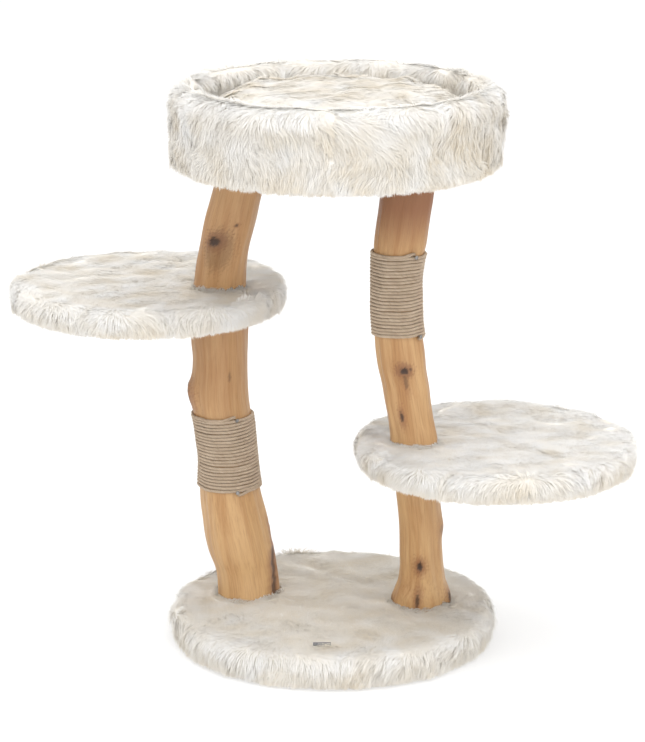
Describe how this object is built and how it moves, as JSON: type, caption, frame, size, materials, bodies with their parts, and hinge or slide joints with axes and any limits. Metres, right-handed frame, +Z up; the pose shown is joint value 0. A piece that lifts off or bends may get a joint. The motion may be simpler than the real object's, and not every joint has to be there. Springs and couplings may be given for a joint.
{
  "type": "cat tree",
  "caption": "Natural-trunk cat tree: a round plush base, two side platforms and a raised round plush bed with a loose cushion, carried by two rope-wrapped trunk posts.",
  "frame": {"origin": "centre of the round base, on the floor", "axes": "+Z up; +X from the left platform towards the right one, along the longest side; -Y is the front, so +Y points to the back, the shortest side"},
  "size_m": [0.956, 0.5975, 0.8545],
  "materials": {
    "trunk_wood": "sanded natural trunk wood, clear sealed, with knots",
    "plush": "long-pile cream faux fur on a knitted backing",
    "rope": "three-strand twisted natural jute rope",
    "board": "raw wood-fibre board",
    "felt": "dark grey felt",
    "foam": "open-cell foam strip",
    "filling": "polyester fibre filling",
    "steel": "zinc-plated steel",
    "tag": "blank woven label, no text"
  },
  "bodies": {
    "stand": {"base_blank_tag": "tag", "base_board": "board", "base_felt_underside": "felt", "base_left_bolt": "steel", "base_left_washer": "steel", "base_plush_cover": "plush", "base_right_bolt": "steel", "base_right_washer": "steel", "bed_board": "board", "bed_felt_underside": "felt", "bed_left_bolt": "steel", "bed_left_washer": "steel", "bed_plush_cover": "plush", "bed_right_bolt": "steel", "bed_right_washer": "steel", "bed_rim_foam": "foam", "left_lower_trunk": "trunk_wood", "left_lower_trunk_insert_high": "steel", "left_lower_trunk_insert_low": "steel", "left_lower_trunk_rope_nail_high": "steel", "left_lower_trunk_rope_nail_low": "steel", "left_lower_trunk_rope_wrap": "rope", "left_platform_board": "board", "left_platform_felt_underside": "felt", "left_platform_plush_cover": "plush", "left_platform_stud": "steel", "left_upper_trunk": "trunk_wood", "left_upper_trunk_insert_high": "steel", "left_upper_trunk_insert_low": "steel", "right_lower_trunk": "trunk_wood", "right_lower_trunk_insert_high": "steel", "right_lower_trunk_insert_low": "steel", "right_platform_board": "board", "right_platform_felt_underside": "felt", "right_platform_plush_cover": "plush", "right_platform_stud": "steel", "right_upper_trunk": "trunk_wood", "right_upper_trunk_insert_high": "steel", "right_upper_trunk_insert_low": "steel", "right_upper_trunk_rope_nail_high": "steel", "right_upper_trunk_rope_nail_low": "steel", "right_upper_trunk_rope_wrap": "rope"},
    "cushion": {"cushion_plush_cover": "plush", "cushion_filling": "filling"}
  },
  "joints": [
    {"name": "cushion_lift", "type": "slide", "parent": "stand", "child": "cushion", "axis": [0, 0, 1], "range_m": [0, 0.12]}
  ]
}
